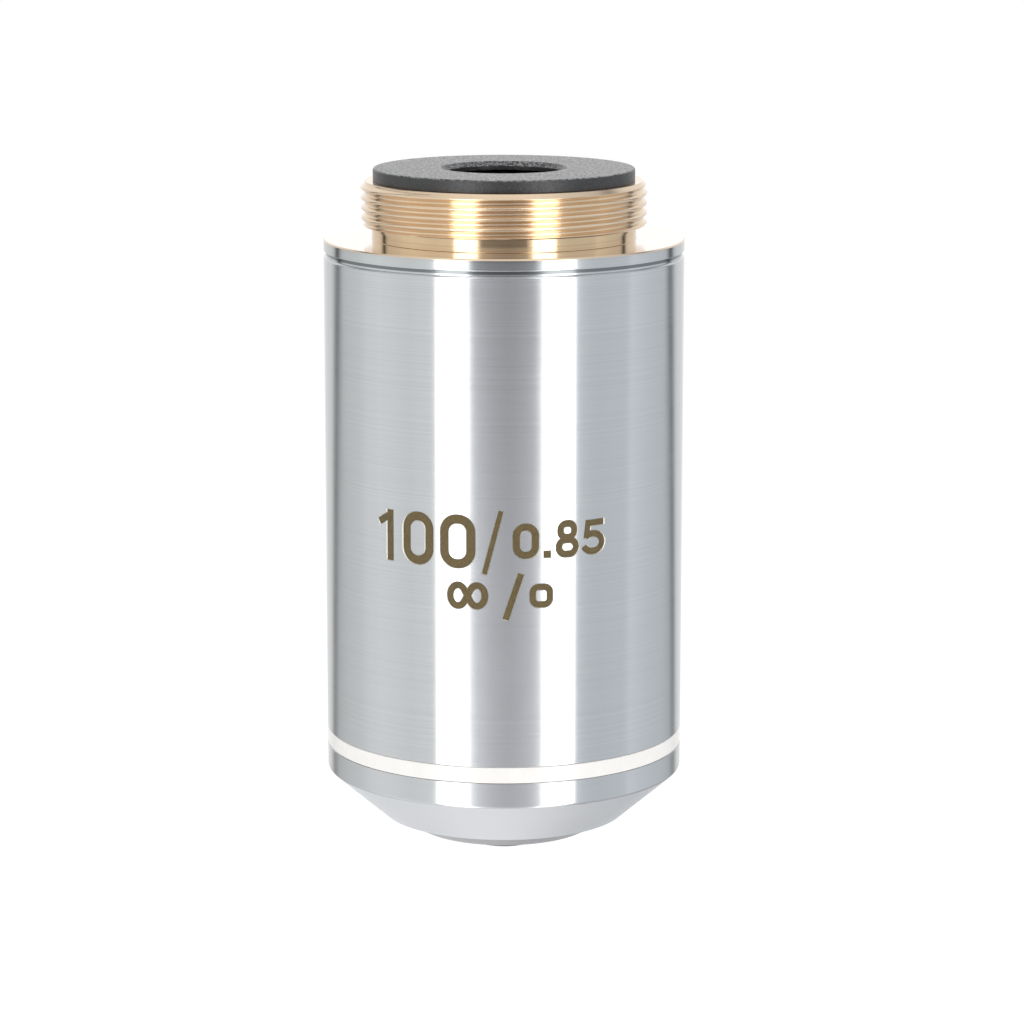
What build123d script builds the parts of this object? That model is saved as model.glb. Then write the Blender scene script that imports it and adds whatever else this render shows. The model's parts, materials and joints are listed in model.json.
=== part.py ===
from build123d import *
import os
from math import copysign, cos, radians, sin, sqrt, tan

# Microscope objective with a spring-loaded nose.
# Millimetres. +Z runs along the optical axis, from the specimen to the thread. The origin is on
# the axis, in the plane of the mounting shoulder that meets the nosepiece.

# The standard thread and its neck. The thread itself is a plain cylinder at its crest diameter.
thread_diameter = 20.27
thread_length = 3.1
thread_lead_in = 0.35
thread_run_out = 0.15
neck_depth = 0.765
neck_height = 0.97

# Flange. A shallow ring is turned down round the neck, so that only the outer seat meets the nosepiece.
body_diameter = 25.6
flange_thickness = 0.83
flange_chamfer = 0.1
seat_relief_margin = 0.165
seat_relief_depth = 0.06
seam_height = 0.35
seam_depth = 0.15

# Focus. The parfocal length runs from the shoulder to the specimen.
parfocal_length = 45.0
working_distance = 0.8

# Outer sleeve with its groove and cone
sleeve_wall = 1.0
sleeve_top_chamfer = 0.12
cone_half_angle = 49.0
cone_edge_width = 0.42
cone_edge_above_nose_rim = 0.1
band_height = 1.18
band_to_cone = 1.74
band_thickness = 0.3

# Mount body below the flange: a spigot inside the sleeve, then the guide tube
spigot_length = 7.0
sleeve_to_tube_gap = 0.8
guide_wall = 1.4
neck_wall = 1.45
spring_seat_width = 1.5
spring_seat_depth = 2.5
stop_thread_depth = 0.3
tube_end_recess = 0.4

# Rear baffle
baffle_inset = 0.865
baffle_thickness = 0.895
baffle_edge = 0.12
baffle_hole_diameter = 8.3
baffle_bevel = 0.33
baffle_lip = 0.63
baffle_wall = 1.4
baffle_spigot_length = 2.6

# Lens barrel and what stops and guides it
travel = 1.8
barrel_shoulder_width = 1.25
barrel_wall = 2.05
barrel_web = 1.8
barrel_lower_length = 9.4
barrel_upper_land = 7.0
barrel_lower_land = 4.0
barrel_relief_depth = 0.35
barrel_rim_above_stack = 0.3
shim_thickness = 0.3
stop_ring_height = 1.8
lock_ring_height = 1.2
lock_ring_margin = 0.3
spanner_slot_width = 1.2
spanner_slot_depth = 0.8
guide_screw_diameter = 2.5
guide_dog_diameter = 2.0
guide_dog_depth = 1.0
guide_screw_from_top = 2.4
screw_slot_width = 0.4
screw_slot_depth = 0.5

# Return spring, coiled from flat wire
spring_wire_width = 0.6
spring_wire_height = 0.5
spring_pitch = 1.5
spring_side_gap = 0.25

# Nose: the flat face, the steeper ring round it, the tip and the front lens
nose_face_angle = 13.0
nose_cone_angle = 27.7
nose_cone_width = 1.9
nose_rim_height = 0.7
nose_cap_lip = 0.7
nose_cap_wall = 0.7
nose_spigot_length = 1.5
tip_height = 0.7
tip_face_radius = 2.3
tip_opening_radius = 1.55
tip_lip = 0.12
front_lens_radius = 1.9
front_lens_edge = 0.65
front_cell_wall = 1.85
front_cell_flange_width = 0.6
front_cell_flange_height = 0.5
front_cell_mouth_radius = 3.1

# Lens stack. Each glass has a least thickness: at its rim if it is thickest in the middle.
crown_rim = 0.7
flint_centre = 0.8
collector_rim = 1.1
meniscus_rim = 1.0
gauss_crown_rim = 1.4
gauss_flint_centre = 1.2
rear_glass_least = 1.0
meniscus_cell_wall = 1.32
meniscus_flange = 1.2
gauss_side_play = 0.25
cell_lip_width = 0.4
cell_lip_thickness = 0.4
cell_chamfer = 0.2
air_space = 0.15
spacer_height = 1.0
spacer_wall = 1.4
aperture_thickness = 0.4
aperture_radius = 2.9
retaining_ring_height = 2.0
retaining_ring_wall = 2.0
centring_screw_diameter = 1.6
centring_screw_count = 3
centring_access_diameter = 2.2

# Clearances
push_fit = 0.03
slide_fit = 0.05
glass_fit = 0.02
end_gap = 0.02
cutter_margin = 1.0

# The optical prescription as shares, so that it keeps its form at any size. A surface's rise is how
# much higher its rim is than its centre, as a share of the lens's radius: it is negative on a dome.
# The stack's radii are shares of the cells' outer radius, because the barrel's bore limits the beam.
front_rises = (-0.095, -0.674)
meniscus_rises = (-0.127, -0.407)
collector_rises = (-0.085, -0.317)
doublet_a_rises = (-0.04, 0.185, -0.217)
doublet_b_rises = (0.133, -0.211, -0.056)
doublet_c_rises = (0.119, -0.167, 0.036)
gauss_rises = (0.2, -0.057, 0.286)
rear_rises = (-0.25, 0.047, -0.188)
collector_share = 0.55
doublet_a_share = 0.615
doublet_b_share = 0.6
doublet_c_share = 0.56
gauss_share = 0.47
rear_share = 0.43

# Radii, worked out from the outside inwards
body_r = body_diameter / 2
sleeve_bore_r = body_r - sleeve_wall
spigot_r = sleeve_bore_r - push_fit
tube_r = sleeve_bore_r - sleeve_to_tube_gap
guide_bore_r = tube_r - guide_wall
stop_bore_r = guide_bore_r + stop_thread_depth
barrel_r = guide_bore_r - slide_fit
barrel_lower_r = barrel_r - barrel_shoulder_width
barrel_bore_r = barrel_r - barrel_wall
cell_r = barrel_bore_r - push_fit
nose_r = barrel_lower_r
nose_knee_r = nose_r - nose_cone_width
nose_opening_r = nose_r + slide_fit + push_fit
cone_edge_r = nose_opening_r + cone_edge_width
thread_r = thread_diameter / 2
neck_r = thread_r - neck_depth
neck_bore_r = neck_r - neck_wall
web_bore_r = guide_bore_r - spring_seat_width
baffle_spigot_r = neck_bore_r - push_fit

# Radii of the nose, worked out from the front lens outwards
front_cell_r = front_lens_radius + glass_fit + front_cell_wall
front_flange_r = front_cell_r + front_cell_flange_width
cap_bore_r = front_flange_r + push_fit
cap_spigot_r = cap_bore_r + nose_cap_wall
web_hole_r = cap_spigot_r + push_fit
snout_r = cap_bore_r - push_fit
meniscus_radius = snout_r - meniscus_cell_wall - glass_fit
collector_radius = collector_share * cell_r

# Heights, worked out from the tip upwards
tip_z = working_distance - parfocal_length
cap_front_z = tip_z + tip_height
nose_knee_z = cap_front_z + (nose_knee_r - front_cell_r) * tan(radians(nose_face_angle))
nose_rim_z = nose_knee_z + nose_cone_width * tan(radians(nose_cone_angle))
barrel_end_z = nose_rim_z + nose_rim_height
stack_z = barrel_end_z + barrel_web
cap_shoulder_z = cap_front_z + nose_cap_lip
front_cell_top_z = cap_shoulder_z + front_cell_flange_height
cone_bottom_z = nose_rim_z + cone_edge_above_nose_rim
cone_top_z = cone_bottom_z + (body_r - cone_edge_r) / tan(radians(cone_half_angle))
band_bottom_z = cone_top_z + band_to_cone
band_top_z = band_bottom_z + band_height
sleeve_top_z = -flange_thickness - seam_height
thread_top_z = neck_height + thread_length
barrel_shoulder_z = barrel_end_z + barrel_lower_length
stop_ring_top_z = barrel_shoulder_z - shim_thickness
lock_ring_top_z = stop_ring_top_z - stop_ring_height
tube_end_z = lock_ring_top_z - lock_ring_height - tube_end_recess


def turned(*points):
    """A turned solid about the optical axis, from (radius, height) points round its half section."""
    outline = Polyline(*[(r, 0, z) for r, z in points], close=True)
    return revolve(make_face(outline), Axis.Z)


def radial(shape, angle, z):
    """A shape that was drawn along +X at height 0, turned to an angle and lifted."""
    return Pos(0, 0, z) * Rot(0, 0, angle) * shape


def rod(radius, inner, outer):
    """A round rod along +X between two distances from the axis."""
    turn = Plane(origin=(inner, 0, 0), z_dir=(1, 0, 0))
    return extrude(turn * Circle(radius), outer - inner)


def wall_hole(radius, inner_r, outer_r):
    """A radial cutter that runs through a wall between two radii, and past it on both sides."""
    return rod(radius, inner_r - cutter_margin, outer_r + cutter_margin)


def driver_slot(end, screw_diameter):
    """The cut for a screwdriver in the outer end of a radial screw."""
    return Pos(end - screw_slot_depth / 2, 0, 0) * Box(screw_slot_depth, screw_diameter, screw_slot_width)


def spanner_slots(ring_radius, z, width, depth):
    """A bar across a ring's end face, which leaves two slots for a spanner. Positive depth goes up."""
    bar = Box(2 * (ring_radius + cutter_margin), width, abs(depth))
    return Pos(0, 0, z + depth / 2) * bar


def rise_at(rim_rise, rim_radius, radius):
    """How much higher a spherical surface is at a radius than at its centre."""
    if rim_rise == 0:
        return 0.0
    curve = (rim_radius**2 + rim_rise**2) / (2 * rim_rise)
    return curve - copysign(sqrt(curve**2 - radius**2), curve)


def surface_edge(z, rim_rise, radius):
    """A spherical surface's section, from its centre on the axis to its rim."""
    middle = radius / 2
    rim = (radius, 0, z + rim_rise)
    if rim_rise == 0:
        return Line((0, 0, z), rim)
    return ThreePointArc((0, 0, z), (middle, 0, z + rise_at(rim_rise, radius, middle)), rim)


def glass(low_z, high_z, low_rise, high_rise, radius):
    """One lens, from the heights of its two centres, its two rim rises and its radius."""
    low = surface_edge(low_z, low_rise, radius)
    high = surface_edge(high_z, high_rise, radius)
    rim = Line((radius, 0, low_z + low_rise), (radius, 0, high_z + high_rise))
    axis_edge = Line((0, 0, low_z), (0, 0, high_z))
    return revolve(make_face([axis_edge, low, rim, high]), Axis.Z)


def centre_thickness(least, low_rise, high_rise):
    return least + max(0.0, low_rise - high_rise)


def rim_rises(shares, radius):
    """The rim rises of a group's surfaces, from their shares of its radius."""
    return [share * radius for share in shares]


def first_centre(rises, radius):
    """Height of a group's first centre above its cell's base, with the rim or the dome on the lip."""
    lip_r = radius - cell_lip_width
    lowest = min(rises[0], rise_at(rises[0], radius, lip_r))
    return cell_lip_thickness + glass_fit - lowest


def group_span(rises, least, radius):
    """The lowest and highest point of a lens group, above its cell's base."""
    first = first_centre(rises, radius)
    last = first + sum(centre_thickness(t, rises[i], rises[i + 1]) for i, t in enumerate(least))
    last += glass_fit * (len(least) - 1)
    return min(first, first + rises[0]), max(last, last + rises[-1])


def lens_group(base_z, rises, least, radius):
    """The glasses of one group, each a film of cement above the last."""
    glasses = []
    low_z = base_z + first_centre(rises, radius)
    for i, thickness in enumerate(least):
        high_z = low_z + centre_thickness(thickness, rises[i], rises[i + 1])
        glasses.append(glass(low_z, high_z, rises[i], rises[i + 1], radius))
        low_z = high_z + glass_fit
    return glasses


def lens_cell(base_z, height, lens_radius, outer_r):
    """A turned ring: the lens lies on its lip, and light enters through the lip's bevel."""
    bore_r = lens_radius + glass_fit
    lip_r = lens_radius - cell_lip_width
    seat_z = base_z + cell_lip_thickness
    top_z = base_z + height
    return turned(
        (lip_r, base_z + cell_lip_thickness / 2),
        (lens_radius, base_z),
        (outer_r, base_z),
        (outer_r, top_z - cell_chamfer),
        (outer_r - cell_chamfer, top_z),
        (bore_r, top_z),
        (bore_r, seat_z),
        (lip_r, seat_z),
    )


# The groups above the meniscus cell: shares of the surfaces' rises, least thicknesses, radius, and
# the height of what lies between the group's cell and the next one
groups = {
    "collector": (collector_rises, [collector_rim], collector_share, 0.0),
    "doublet_a": (doublet_a_rises, [flint_centre, crown_rim], doublet_a_share, 0.0),
    "doublet_b": (doublet_b_rises, [crown_rim, flint_centre], doublet_b_share, 0.0),
    "doublet_c": (
        doublet_c_rises, [crown_rim, flint_centre], doublet_c_share, spacer_height + aperture_thickness
    ),
    "gauss": (gauss_rises, [gauss_crown_rim, gauss_flint_centre], gauss_share, 0.0),
    "rear": (rear_rises, [rear_glass_least, rear_glass_least], rear_share, 0.0),
}


def group_form(name):
    """A group's rim rises, least thicknesses and radius."""
    shares, least, radius_share, _ = groups[name]
    radius = radius_share * cell_r
    return rim_rises(shares, radius), least, radius


def stack_places():
    """The base height and the height of each cell in the stack, by group name."""
    places = {}
    names = list(groups)
    base = stack_z + meniscus_flange
    for i, name in enumerate(names):
        height = group_span(*group_form(name))[1] + air_space
        if i + 1 < len(names):
            height += max(0.0, -group_span(*group_form(names[i + 1]))[0])
        places[name] = (base, height)
        base += height + groups[name][3]
    return places, base


cell_places, stack_top_z = stack_places()
retaining_top_z = stack_top_z + retaining_ring_height
barrel_top_z = retaining_top_z + barrel_rim_above_stack
guide_screw_z = barrel_top_z - guide_screw_from_top
centring_z = cell_places["gauss"][0] + cell_places["gauss"][1] / 2
centring_angles = [30 + i * 360 / centring_screw_count for i in range(centring_screw_count)]
guide_angle = 90


def mount_body():
    relief_r = thread_r + seat_relief_margin
    body = turned(
        (neck_bore_r, thread_top_z),
        (thread_r - thread_lead_in, thread_top_z),
        (thread_r, thread_top_z - thread_lead_in),
        (thread_r, neck_height + thread_run_out),
        (thread_r - thread_run_out, neck_height),
        (neck_r, neck_height),
        (neck_r, -seat_relief_depth),
        (relief_r, -seat_relief_depth),
        (relief_r, 0),
        (body_r - flange_chamfer, 0),
        (body_r, -flange_chamfer),
        (body_r, -flange_thickness),
        (body_r - seam_depth, -flange_thickness),
        (body_r - seam_depth, sleeve_top_z),
        (spigot_r, sleeve_top_z),
        (spigot_r, sleeve_top_z - spigot_length),
        (tube_r, sleeve_top_z - spigot_length),
        (tube_r, tube_end_z),
        (stop_bore_r, tube_end_z),
        (stop_bore_r, stop_ring_top_z),
        (guide_bore_r, stop_ring_top_z),
        (guide_bore_r, -spring_seat_depth),
        (web_bore_r, -spring_seat_depth),
        (web_bore_r, -flange_thickness),
        (neck_bore_r, -flange_thickness),
    )
    screw_hole = wall_hole(guide_screw_diameter / 2 + push_fit, guide_bore_r, tube_r)
    body -= radial(screw_hole, guide_angle, guide_screw_z)
    access_hole = wall_hole(centring_access_diameter / 2, guide_bore_r, tube_r)
    for angle in centring_angles:
        body -= radial(access_hole, angle, centring_z)
    return body


def rear_baffle():
    outer_r = thread_r - baffle_inset
    hole_r = baffle_hole_diameter / 2
    top_z = thread_top_z + baffle_thickness
    inner_r = baffle_spigot_r - baffle_wall
    return turned(
        (hole_r + baffle_bevel, top_z),
        (outer_r - baffle_edge, top_z),
        (outer_r, top_z - baffle_edge),
        (outer_r, thread_top_z),
        (baffle_spigot_r, thread_top_z),
        (baffle_spigot_r, thread_top_z - baffle_spigot_length),
        (inner_r, thread_top_z - baffle_spigot_length),
        (inner_r, top_z - baffle_lip),
        (hole_r, top_z - baffle_lip),
        (hole_r, top_z - baffle_bevel),
    )


def outer_sleeve():
    groove_r = body_r - band_thickness
    slope = tan(radians(cone_half_angle))
    wall_height = sleeve_wall / sin(radians(cone_half_angle))
    inner_cone_z = cone_bottom_z + wall_height - cone_edge_width / slope
    return turned(
        (sleeve_bore_r, sleeve_top_z),
        (body_r - sleeve_top_chamfer, sleeve_top_z),
        (body_r, sleeve_top_z - sleeve_top_chamfer),
        (body_r, band_top_z),
        (groove_r, band_top_z),
        (groove_r, band_bottom_z),
        (body_r, band_bottom_z),
        (body_r, cone_top_z),
        (cone_edge_r, cone_bottom_z),
        (nose_opening_r, cone_bottom_z),
        (nose_opening_r, inner_cone_z),
        (sleeve_bore_r, inner_cone_z + (sleeve_bore_r - nose_opening_r) / slope),
    )


def colour_band():
    inner_r = body_r - band_thickness + end_gap
    return turned(
        (inner_r, band_bottom_z + end_gap),
        (body_r, band_bottom_z + end_gap),
        (body_r, band_top_z - end_gap),
        (inner_r, band_top_z - end_gap),
    )


def parfocal_shim():
    return turned(
        (barrel_lower_r + slide_fit, stop_ring_top_z),
        (guide_bore_r - push_fit, stop_ring_top_z),
        (guide_bore_r - push_fit, barrel_shoulder_z),
        (barrel_lower_r + slide_fit, barrel_shoulder_z),
    )


def threaded_stop(top_z, height, inner_r):
    """A ring screwed into the guide tube's end, with spanner slots in its lower face."""
    outer_r = stop_bore_r - push_fit
    ring = turned((inner_r, top_z), (outer_r, top_z), (outer_r, top_z - height), (inner_r, top_z - height))
    return ring - spanner_slots(outer_r, top_z - height, spanner_slot_width, spanner_slot_depth)


def guide_screw():
    """A headless screw through the guide tube: its dog runs in the barrel's slot."""
    body = rod(guide_screw_diameter / 2, guide_bore_r + end_gap, tube_r)
    dog = rod(guide_dog_diameter / 2, barrel_r - guide_dog_depth, guide_bore_r + end_gap)
    driver = driver_slot(tube_r, guide_screw_diameter)
    return radial(body + dog - driver, guide_angle, guide_screw_z)


def return_spring():
    """A coil between the mount body's inner shoulder and the top of the barrel."""
    coil_r = guide_bore_r - spring_side_gap - spring_wire_width / 2
    end_space = spring_wire_height / 2 + end_gap
    bottom_z = barrel_top_z + end_space
    height = -spring_seat_depth - end_space - bottom_z
    path = Helix(spring_pitch, height, coil_r, center=(0, 0, bottom_z))
    start = Plane(origin=path @ 0, x_dir=(1, 0, 0), z_dir=path % 0)
    return sweep(start * Rectangle(spring_wire_width, spring_wire_height), path=path, is_frenet=True)


def guide_slot():
    """The barrel's blind slot for the guide screw's dog, as long as the barrel's travel needs."""
    half = guide_dog_diameter / 2 + slide_fit
    floor_r = barrel_r - guide_dog_depth - slide_fit
    outer_r = barrel_r + cutter_margin
    slot = rod(half, floor_r, outer_r) + Pos(0, 0, -travel) * rod(half, floor_r, outer_r)
    slot += Pos((floor_r + outer_r) / 2, 0, -travel / 2) * Box(outer_r - floor_r, 2 * half, travel)
    return radial(slot, guide_angle, guide_screw_z)


def lens_barrel():
    upper_land_z = barrel_top_z - barrel_upper_land
    lower_land_z = barrel_shoulder_z + barrel_lower_land
    relief_r = barrel_r - barrel_relief_depth
    body = turned(
        (barrel_bore_r, barrel_top_z),
        (barrel_r, barrel_top_z),
        (barrel_r, upper_land_z),
        (relief_r, upper_land_z),
        (relief_r, lower_land_z),
        (barrel_r, lower_land_z),
        (barrel_r, barrel_shoulder_z),
        (barrel_lower_r, barrel_shoulder_z),
        (barrel_lower_r, barrel_end_z),
        (web_hole_r, barrel_end_z),
        (web_hole_r, stack_z),
        (barrel_bore_r, stack_z),
    )
    body -= guide_slot()
    screw_hole = wall_hole(centring_screw_diameter / 2 + push_fit, barrel_bore_r, barrel_r)
    for angle in centring_angles:
        body -= radial(screw_hole, angle, centring_z)
    return body


def nose_cap():
    """A cone of two slopes, with a spigot in the barrel's web and a shoulder for the front cell."""
    hole_r = front_cell_r + push_fit
    return turned(
        (hole_r, cap_front_z),
        (nose_knee_r, nose_knee_z),
        (nose_r, nose_rim_z),
        (nose_r, barrel_end_z),
        (cap_spigot_r, barrel_end_z),
        (cap_spigot_r, barrel_end_z + nose_spigot_length),
        (cap_bore_r, barrel_end_z + nose_spigot_length),
        (cap_bore_r, cap_shoulder_z),
        (hole_r, cap_shoulder_z),
    )


def front_cell():
    bore_r = front_lens_radius + glass_fit
    seat_z = tip_z + tip_lip
    lens_rim_z = seat_z + glass_fit + front_lens_edge
    return turned(
        (tip_opening_radius, tip_z),
        (tip_face_radius, tip_z),
        (front_cell_r, cap_front_z),
        (front_cell_r, cap_shoulder_z),
        (front_flange_r, cap_shoulder_z),
        (front_flange_r, front_cell_top_z),
        (front_cell_mouth_radius, front_cell_top_z),
        (bore_r, lens_rim_z),
        (bore_r, seat_z),
        (tip_opening_radius, seat_z),
    )


def front_lens():
    rim_z = tip_z + tip_lip + glass_fit
    hollow, dome = rim_rises(front_rises, front_lens_radius)
    high_z = rim_z + front_lens_edge - dome
    return glass(rim_z - hollow, high_z, hollow, dome, front_lens_radius)


def meniscus_cell():
    """The lowest cell of the stack: its snout reaches down through the nose cap to the front cell."""
    bore_r = meniscus_radius + glass_fit
    lip_r = meniscus_radius - cell_lip_width
    base_z = front_cell_top_z
    top_z = stack_z + meniscus_flange
    return turned(
        (lip_r, base_z),
        (snout_r, base_z),
        (snout_r, stack_z),
        (cell_r, stack_z),
        (cell_r, top_z),
        (collector_radius, top_z),
        (bore_r, stack_z),
        (bore_r, base_z + cell_lip_thickness),
        (lip_r, base_z + cell_lip_thickness),
    )


def aperture_stop(base_z):
    return turned(
        (aperture_radius, base_z),
        (cell_r, base_z),
        (cell_r, base_z + aperture_thickness),
        (aperture_radius + aperture_thickness / 2, base_z + aperture_thickness),
    )


def spacer_ring(base_z):
    return turned(
        (cell_r - spacer_wall, base_z),
        (cell_r, base_z),
        (cell_r, base_z + spacer_height),
        (cell_r - spacer_wall, base_z + spacer_height),
    )


def retaining_ring():
    """Screwed in behind the rear cell, bevelled inside, with spanner slots in its upper face."""
    inner_r = cell_r - retaining_ring_wall
    ring = turned(
        (inner_r, stack_top_z),
        (cell_r, stack_top_z),
        (cell_r, retaining_top_z),
        (inner_r + retaining_ring_wall / 2, retaining_top_z),
        (inner_r, retaining_top_z - retaining_ring_height / 2),
    )
    return ring - spanner_slots(cell_r, retaining_top_z, spanner_slot_width, -spanner_slot_depth)


def centring_screws():
    """Radial screws in the barrel's wall, with their ends on the sideways cell."""
    inner = cell_r - gauss_side_play + end_gap
    outer = barrel_r - barrel_relief_depth - end_gap
    screw = rod(centring_screw_diameter / 2, inner, outer) - driver_slot(outer, centring_screw_diameter)
    return [radial(screw, angle, centring_z) for angle in centring_angles]


def build_parts():
    parts = {
        "mount_body": mount_body(),
        "rear_baffle": rear_baffle(),
        "outer_sleeve": outer_sleeve(),
        "colour_band": colour_band(),
        "parfocal_shim": parfocal_shim(),
        "stop_ring": threaded_stop(stop_ring_top_z, stop_ring_height, barrel_lower_r + slide_fit),
        "stop_lock_ring": threaded_stop(
            lock_ring_top_z, lock_ring_height, barrel_lower_r + lock_ring_margin
        ),
        "guide_screw": guide_screw(),
        "return_spring": return_spring(),
        "lens_barrel": lens_barrel(),
        "nose_cap": nose_cap(),
        "front_cell": front_cell(),
        "front_lens": front_lens(),
        "meniscus_cell": meniscus_cell(),
        "retaining_ring": retaining_ring(),
        "centring_screws": Compound(centring_screws()),
    }
    rises = rim_rises(meniscus_rises, meniscus_radius)
    parts["meniscus_lens"] = lens_group(front_cell_top_z, rises, [meniscus_rim], meniscus_radius)[0]
    glass_names = {
        "collector": ["collector_lens"],
        "doublet_a": ["doublet_a_flint", "doublet_a_crown"],
        "doublet_b": ["doublet_b_crown", "doublet_b_flint"],
        "doublet_c": ["doublet_c_crown", "doublet_c_flint"],
        "gauss": ["gauss_crown", "gauss_flint"],
        "rear": ["rear_flint", "rear_crown"],
    }
    for name, (base_z, height) in cell_places.items():
        rises, least, radius = group_form(name)
        outer_r = cell_r - gauss_side_play if name == "gauss" else cell_r
        parts[name + "_cell"] = lens_cell(base_z, height, radius, outer_r)
        glasses = lens_group(base_z, rises, least, radius)
        parts.update(zip(glass_names[name], glasses))
    spacer_z = sum(cell_places["doublet_c"])
    parts["spacer_ring"] = spacer_ring(spacer_z)
    parts["aperture_stop"] = aperture_stop(spacer_z + spacer_height)
    return parts


os.makedirs("parts", exist_ok=True)
for node, shape in build_parts().items():
    export_step(shape, "parts/" + node + ".step")
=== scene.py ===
import json
from math import acos, cos, degrees, exp, hypot, pi, radians, sin, tan

import bpy
import numpy as np
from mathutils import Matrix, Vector
from mathutils.geometry import delaunay_2d_cdt


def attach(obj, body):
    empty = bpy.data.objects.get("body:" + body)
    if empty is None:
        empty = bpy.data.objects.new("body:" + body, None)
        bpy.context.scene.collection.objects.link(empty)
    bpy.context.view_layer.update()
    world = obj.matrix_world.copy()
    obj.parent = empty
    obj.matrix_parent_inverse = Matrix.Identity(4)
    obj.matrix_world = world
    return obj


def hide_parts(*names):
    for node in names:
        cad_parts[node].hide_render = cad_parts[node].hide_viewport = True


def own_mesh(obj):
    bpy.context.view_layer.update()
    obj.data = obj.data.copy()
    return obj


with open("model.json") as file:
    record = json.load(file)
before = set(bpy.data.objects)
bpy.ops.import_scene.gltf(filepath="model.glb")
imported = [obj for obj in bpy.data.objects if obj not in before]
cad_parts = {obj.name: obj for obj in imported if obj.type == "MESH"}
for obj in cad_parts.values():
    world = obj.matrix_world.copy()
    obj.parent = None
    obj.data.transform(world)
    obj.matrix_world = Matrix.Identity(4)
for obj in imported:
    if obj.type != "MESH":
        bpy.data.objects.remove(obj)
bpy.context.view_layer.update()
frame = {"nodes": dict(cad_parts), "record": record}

MM = 0.001

# Camera: fitted to the ellipses and edges in the photo. Lengths in metres, the tilt in degrees down.
CAMERA_LENS = 124.40
CAMERA_SENSOR = 36.0
CAMERA_SHIFT = 0.00786
CAMERA_PLACE = (0.0, -0.2499, 0.0297)
CAMERA_TILT = 11.22

camera_data = bpy.data.cameras.new("camera")
camera_data.sensor_width = CAMERA_SENSOR
camera_data.lens = CAMERA_LENS
camera_data.shift_x = CAMERA_SHIFT
camera_data.clip_start = 0.01
camera_data.clip_end = 30.0
camera = bpy.data.objects.new("camera", camera_data)
camera.location = CAMERA_PLACE
camera.rotation_euler = (radians(90.0 - CAMERA_TILT), 0.0, 0.0)
bpy.context.scene.collection.objects.link(camera)
bpy.context.scene.camera = camera
bpy.context.scene.view_settings.view_transform = "Standard"

# Dimensions of the CAD model, in millimetres
BODY_R = 12.8
THREAD_R = 10.135
THREAD_PITCH = 0.7056
THREAD_TOP = 4.07
THREAD_LEAD_IN = 0.35
THREAD_RUN_OUT = 0.15
THREAD_CORE_R = 9.4
NECK_R = 9.37
NECK_TOP = 0.97
NECK_BORE_R = 7.92
FLANGE_CHAMFER = 0.1
FLANGE_BOTTOM = -0.83
SEAM_R = 12.65
SEAM_SHADE = -1.06
SPIGOT_R = 11.77
SPIGOT_LENGTH = 7.0
TUBE_R = 11.0
TUBE_END = -35.4953
GUIDE_BORE_R = 9.6
STOP_BORE_R = 9.9
STOP_TOP = -32.0953
BAFFLE_R = 9.27
BAFFLE_THICKNESS = 0.895
BAFFLE_HOLE_R = 4.15
BAFFLE_BEVEL = 0.33
BAFFLE_LIP = 0.63
BAFFLE_SPIGOT_R = 7.89
BAFFLE_SPIGOT_LENGTH = 2.6
BAFFLE_BORE_R = 6.49
SLEEVE_TOP = -1.18
SLEEVE_BORE_R = 11.8
SLEEVE_WALL = 1.0
SLEEVE_CHAMFER = 0.12
BAND_TOP = -35.3982
BAND_BOTTOM = -36.5782
BAND_SEAT_R = 12.5
BAND_GAP = 0.02
CONE_TOP = -38.3182
CONE_BOTTOM = -41.7953
CONE_HALF_ANGLE = 49.0
CONE_EDGE_R = 8.8
NOSE_OPENING_R = 8.38
SPRING_R = 9.05
SPRING_WIRE_WIDTH = 0.6
SPRING_WIRE_HEIGHT = 0.5
SPRING_PITCH = 1.5
SPRING_WEB_R = 8.1
SPRING_SEAT = -2.5
SPRING_TOP = -2.77
SPRING_BOTTOM = -12.0653
BARREL_END = -41.1953
NOSE_R = 8.3
NOSE_RIM = -41.8953
NOSE_KNEE_R = 6.4
NOSE_KNEE = -42.8928
CAP_FRONT = -43.5
CAP_HOLE_R = 3.8
CAP_LIP = 0.7
CAP_BORE_R = 4.4
CAP_SPIGOT_R = 5.1
CAP_SPIGOT_LENGTH = 1.5
TIP_Z = -44.2
TIP_FACE_R = 2.3
TIP_OPENING_R = 1.55
TIP_LIP = 0.12
FRONT_CELL_R = 3.77
FRONT_FLANGE_R = 4.37
FRONT_FLANGE_HEIGHT = 0.5
FRONT_MOUTH_R = 3.1
FRONT_LENS_R = 1.92
FRONT_LENS_RIM = 0.79


# Mesh building

def unit(a, b):
    size = hypot(a, b)
    return a / size, b / size


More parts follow.
